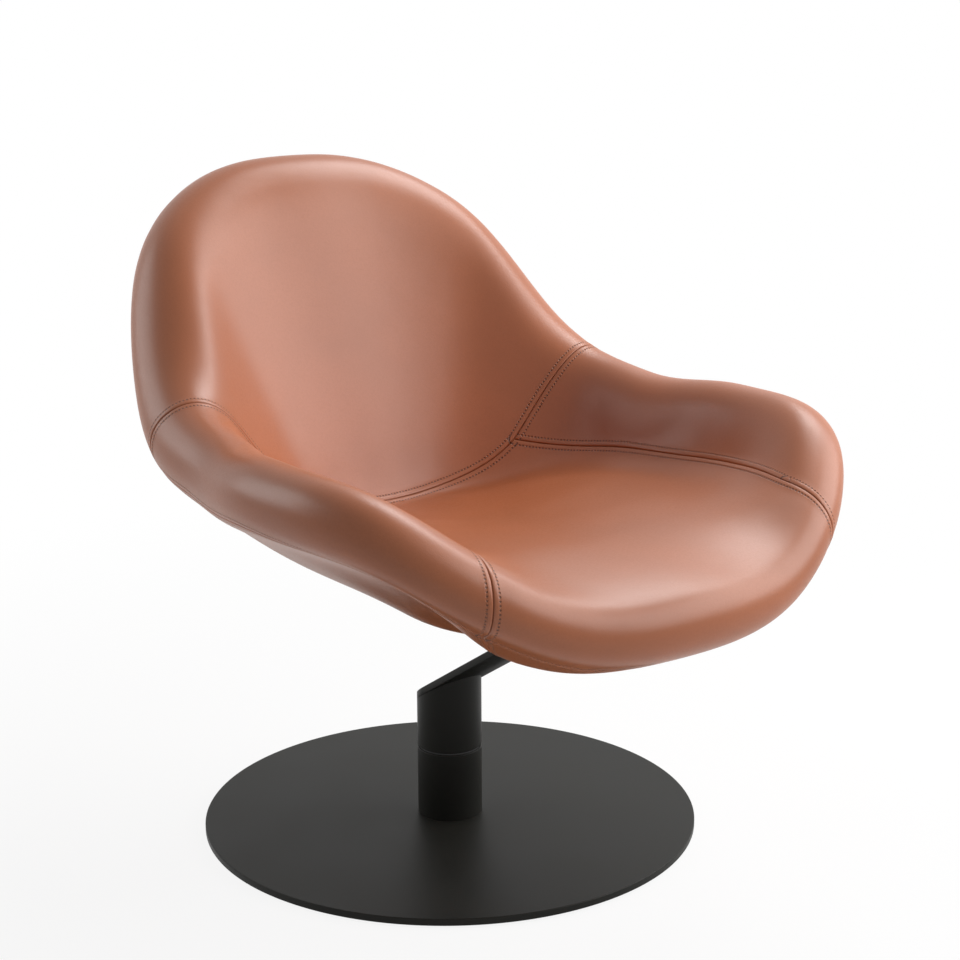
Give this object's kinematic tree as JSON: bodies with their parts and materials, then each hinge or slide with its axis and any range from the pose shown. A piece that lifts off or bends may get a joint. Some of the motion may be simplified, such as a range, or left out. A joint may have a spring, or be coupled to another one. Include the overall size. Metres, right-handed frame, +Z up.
{
  "type": "swivel armchair",
  "caption": "Low upholstered bucket armchair on a forward-leaning bracket, a swivel column and a round foot plate.",
  "frame": {"origin": "centre of the swivel column at the floor, level with the underside of the felt glides", "axes": "+Z up along the swivel axis, the chair faces -Y, +X is the sitter's left"},
  "size_m": [0.7072, 0.7992, 0.763],
  "materials": {
    "leather": "smooth satin cognac hide",
    "foam": "moulded upholstery foam",
    "moulded_ply": "moulded plywood",
    "coated_steel": "satin black powder coat",
    "bare_steel": "machined steel",
    "bearing_polymer": "matt black polymer",
    "felt": "pressed felt"
  },
  "bodies": {
    "base": {"floor_glides": "felt", "foot_plate": "coated_steel", "foot_plug": "bare_steel", "foot_screws": "bare_steel", "column_lower": "coated_steel", "lower_hub": "bare_steel", "spindle": "bare_steel", "thrust_ring": "bearing_polymer", "retaining_washer": "bare_steel", "lock_nut": "bare_steel"},
    "seat": {"column_upper": "coated_steel", "upper_hub": "bare_steel", "lower_bush": "bearing_polymer", "upper_bush": "bearing_polymer", "bracket_plate": "coated_steel", "mount_plate": "coated_steel", "spacer_sleeves": "bare_steel", "mount_screws": "bare_steel", "tee_nuts": "bare_steel", "shell": "moulded_ply", "seat_foam": "foam", "back_foam": "foam", "left_arm_foam": "foam", "right_arm_foam": "foam", "seat_cover": "leather", "back_cover": "leather", "left_arm_cover": "leather", "right_arm_cover": "leather", "under_cover": "leather"}
  },
  "joints": [
    {"name": "swivel", "type": "hinge", "parent": "base", "child": "seat", "pos_m": [0, 0, 0.1], "axis": [0, 0, 1], "continuous": true}
  ]
}
